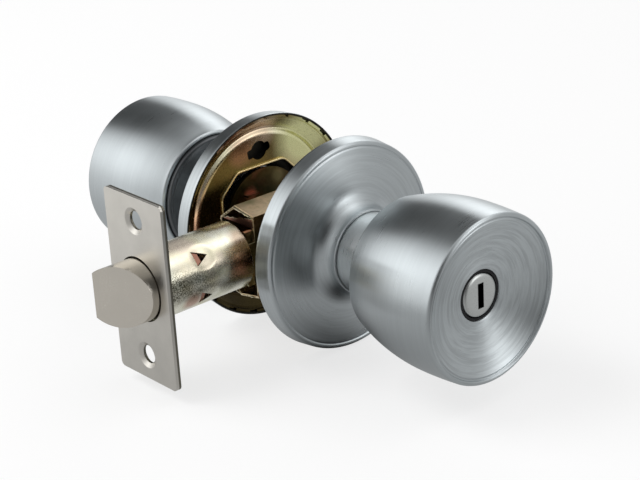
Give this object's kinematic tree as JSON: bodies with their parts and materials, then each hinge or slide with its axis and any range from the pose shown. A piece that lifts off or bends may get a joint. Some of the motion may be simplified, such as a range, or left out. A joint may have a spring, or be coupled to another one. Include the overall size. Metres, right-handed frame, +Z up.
{
  "type": "tubular knob lock",
  "caption": "Tubular privacy knob lock: two round knobs on roses turn a spindle that draws a sprung latch bolt; a turn button and a coin slot lock it.",
  "frame": {"origin": "where the spindle axis crosses the latch axis, in the middle of the door bore", "axes": "+Y along the spindle from the outside knob to the inside knob, -X out of the door edge along the latch bolt, +Z up"},
  "size_m": [0.1055, 0.1635, 0.065],
  "materials": {
    "stainless": "fine circular brushing",
    "satin_nickel": "satin nickel plating",
    "yellow_zinc": "iridescent yellow passivated zinc plating",
    "dull_zinc": "dull yellow zinc plating",
    "spring_steel": "oiled spring steel",
    "black_nylon": "moulded"
  },
  "bodies": {
    "door_set": {"outside_rose": "stainless", "outside_mounting_plate": "yellow_zinc", "outside_thrust_bush": "black_nylon", "outside_return_spring": "spring_steel", "inside_rose": "stainless", "inside_mounting_plate": "yellow_zinc", "inside_thrust_bush": "black_nylon", "inside_return_spring": "spring_steel", "faceplate": "satin_nickel", "backing_plate": "satin_nickel", "latch_tube": "yellow_zinc", "rear_case": "yellow_zinc", "spring_seat": "dull_zinc", "bolt_spring": "spring_steel"},
    "knobs": {"outside_knob_shell": "stainless", "outside_knob_core": "stainless", "outside_disc_guide": "black_nylon", "outside_retaining_ring": "spring_steel", "outside_spring_driver": "dull_zinc", "inside_knob_shell": "stainless", "inside_knob_core": "stainless", "inside_button_guide": "black_nylon", "inside_retaining_ring": "spring_steel", "inside_spring_driver": "dull_zinc", "spindle": "yellow_zinc", "outside_end_cap": "yellow_zinc", "inside_end_cap": "yellow_zinc"},
    "lock_bar": {"release_disc": "satin_nickel", "release_disc_clip": "spring_steel", "turn_button": "satin_nickel", "turn_button_clip": "spring_steel", "locking_bar": "spring_steel", "lock_cam": "dull_zinc"},
    "lug": {"lock_lug": "dull_zinc"},
    "cam": {"latch_cam": "dull_zinc"},
    "retractor_slide": {"retractor": "dull_zinc"},
    "bolt": {"bolt_head": "satin_nickel", "bolt_tail": "yellow_zinc", "bolt_pin": "spring_steel"}
  },
  "joints": [
    {"name": "knob_turn", "type": "hinge", "parent": "door_set", "child": "knobs", "pos_m": [0, 0, 0], "axis": [0, 1, 0], "range_deg": [0, 60], "stiffness_Nm_per_rad": 0.2, "springref_deg": -22.92, "deforming": ["outside_return_spring", "inside_return_spring", "bolt_spring"]},
    {"name": "cam_turn", "type": "hinge", "parent": "door_set", "child": "cam", "pos_m": [0, 0, 0], "axis": [0, 1, 0], "range_deg": [0, 60]},
    {"name": "retractor_draw", "type": "slide", "parent": "door_set", "child": "retractor_slide", "axis": [1, 0, 0], "range_m": [0, 0.0113]},
    {"name": "bolt_push", "type": "slide", "parent": "retractor_slide", "child": "bolt", "axis": [1, 0, 0], "range_m": [0, 0.0103], "stiffness_N_per_m": 250, "springref_m": -0.01, "deforming": ["bolt_spring"]},
    {"name": "lock_turn", "type": "hinge", "parent": "knobs", "child": "lock_bar", "pos_m": [0, 0, 0], "axis": [0, 1, 0], "range_deg": [0, 90]},
    {"name": "lug_slide", "type": "slide", "parent": "knobs", "child": "lug", "axis": [1, 0, 0], "range_m": [0, 0.0015]}
  ],
  "couplings": [
    {"joint": "cam_turn", "follows": "knob_turn", "ratio": 1},
    {"joint": "retractor_draw", "follows": "knob_turn", "m_per_rad": 0.01079},
    {"joint": "lug_slide", "follows": "lock_turn", "m_per_rad": 0.000954}
  ]
}
